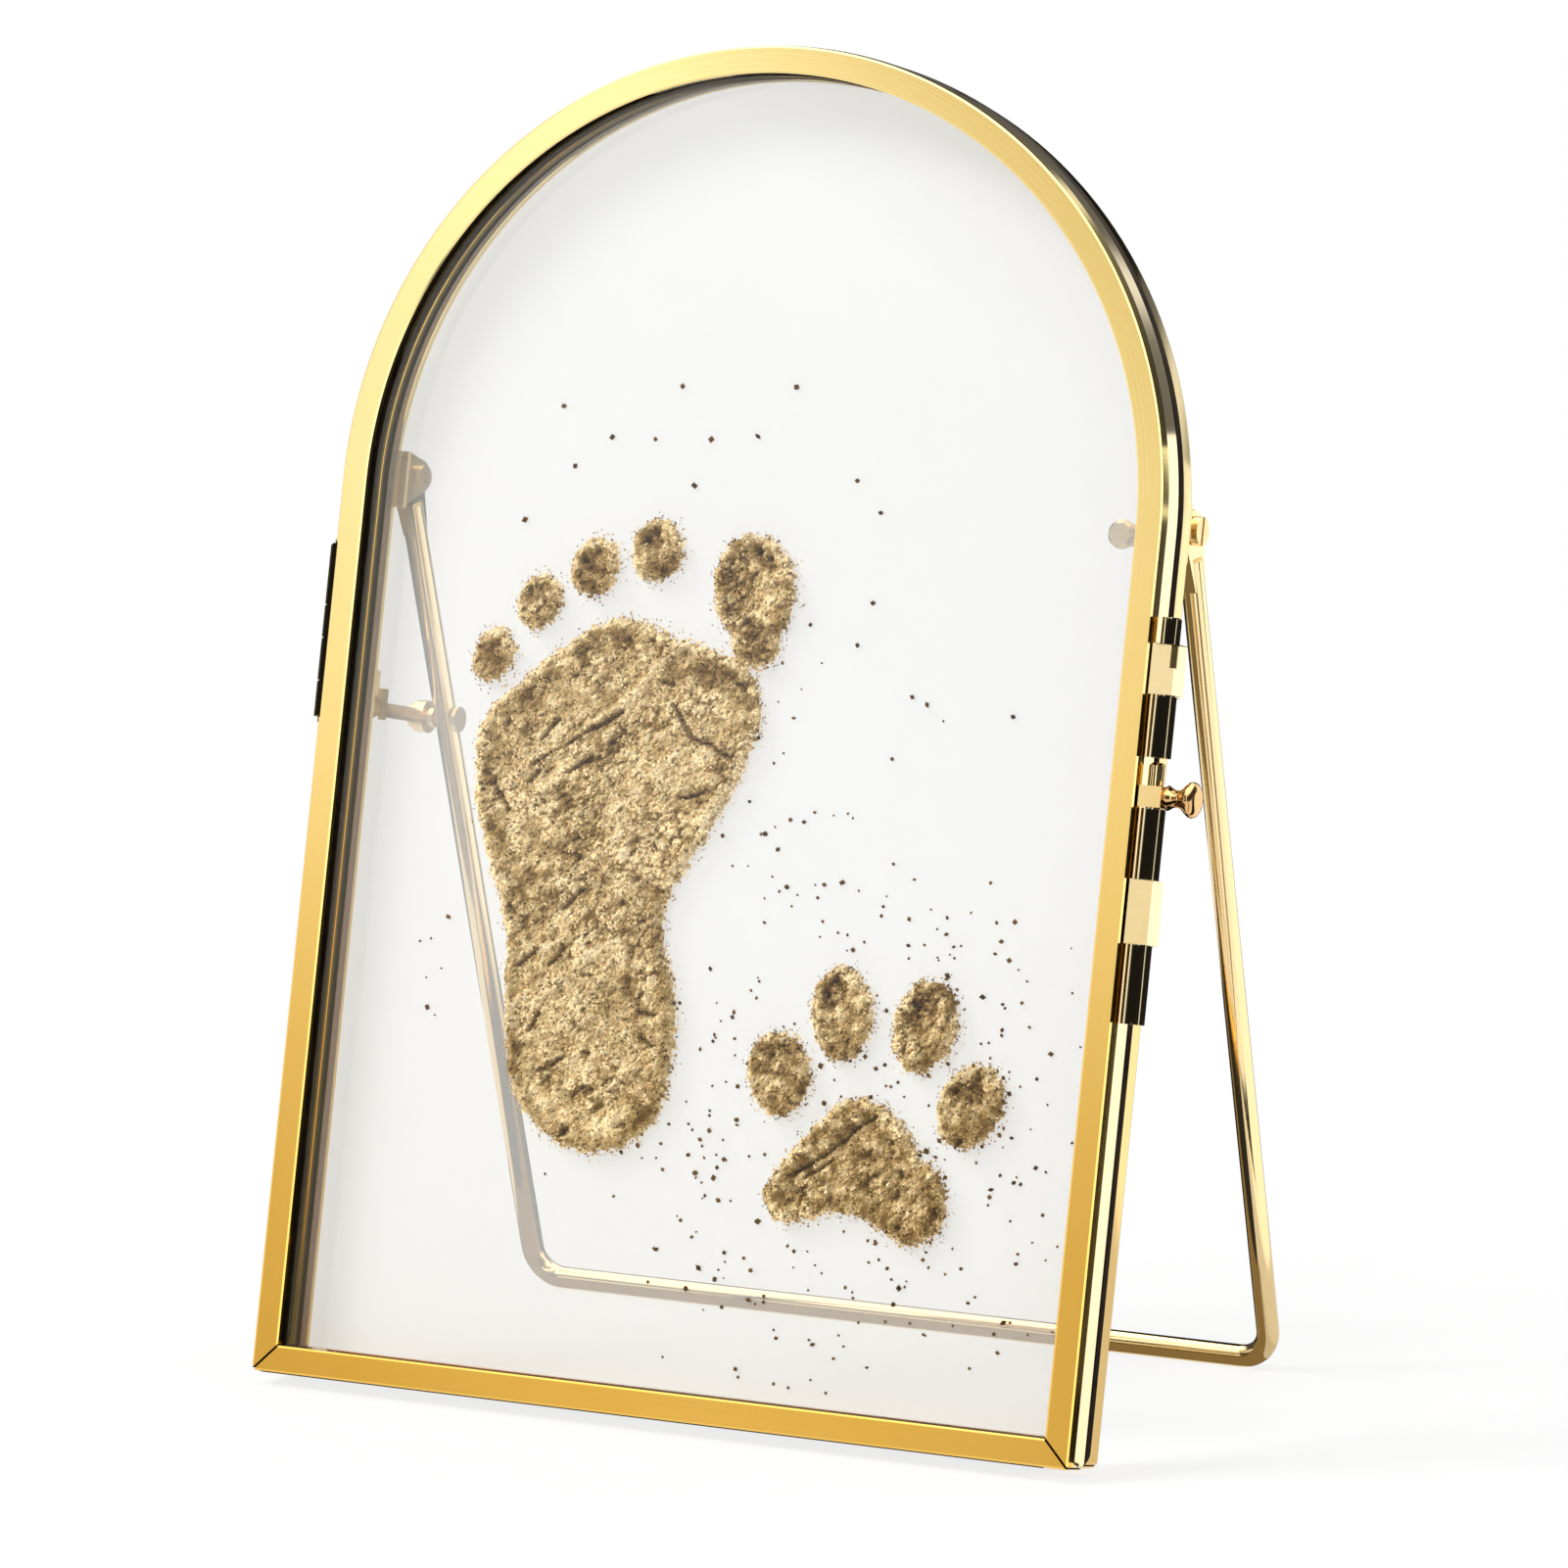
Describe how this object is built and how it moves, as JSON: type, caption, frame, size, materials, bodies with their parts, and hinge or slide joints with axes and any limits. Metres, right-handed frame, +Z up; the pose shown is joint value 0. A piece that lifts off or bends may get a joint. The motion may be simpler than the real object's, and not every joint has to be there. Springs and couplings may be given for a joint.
{
  "type": "arched double-glass keepsake frame",
  "caption": "Arched gold metal frame of hinged glass panes with a side bolt and a folding wire stand, showing a sand footprint and paw print between the panes.",
  "frame": {"origin": "on the table, under the middle of the whole object's box", "axes": "+Z up from the table, -Y out of the glass towards the viewer, +X to the viewer's right, the bolt's side"},
  "size_m": [0.1468, 0.0806, 0.1974],
  "materials": {
    "gold_metal": "polished",
    "clear_glass": "clear",
    "sand": "grainy"
  },
  "bodies": {
    "back_frame": {"back_arch_channel": "gold_metal", "back_bottom_rail": "gold_metal", "back_glass": "clear_glass", "hinge_back_leaf": "gold_metal", "hinge_pin": "gold_metal", "latch_guide": "gold_metal", "stand_bracket_left": "gold_metal", "stand_bracket_right": "gold_metal", "bracket_screw": "gold_metal", "stand_pivot_screws": "gold_metal", "stay_clip": "gold_metal", "sand_foot_sole": "sand", "sand_foot_toes": "sand", "sand_paw_pad": "sand", "sand_paw_toes": "sand"},
    "front_door": {"front_arch_channel": "gold_metal", "front_bottom_rail": "gold_metal", "front_glass": "clear_glass", "hinge_front_leaf": "gold_metal", "latch_keeper": "gold_metal"},
    "bolt": {"latch_bolt": "gold_metal", "latch_knob": "gold_metal"},
    "stand": {"stand_wire": "gold_metal", "stay_pin": "gold_metal"},
    "stay": {"stay_rod": "gold_metal"}
  },
  "joints": [
    {"name": "door_hinge", "type": "hinge", "parent": "back_frame", "child": "front_door", "pos_m": [-0.0716, -0.03489, 0.00093], "axis": [0, -0.2147, -0.9767], "range_deg": [0, 150]},
    {"name": "bolt_slide", "type": "slide", "parent": "back_frame", "child": "bolt", "axis": [0, 0.2147, 0.9767], "range_m": [0, 0.0039]},
    {"name": "stand_fold", "type": "hinge", "parent": "back_frame", "child": "stand", "pos_m": [-0.0026, 0.00339, 0.13032], "axis": [-1, 0, 0], "range_deg": [0, 27.7]},
    {"name": "stay_swing", "type": "hinge", "parent": "stand", "child": "stay", "pos_m": [-0.07, 0.01378, 0.09232], "axis": [1, 0, 0], "range_deg": [0, 117.8]}
  ],
  "couplings": [
    {"joint": "stay_swing", "follows": "stand_fold", "ratio": 4.2491}
  ]
}
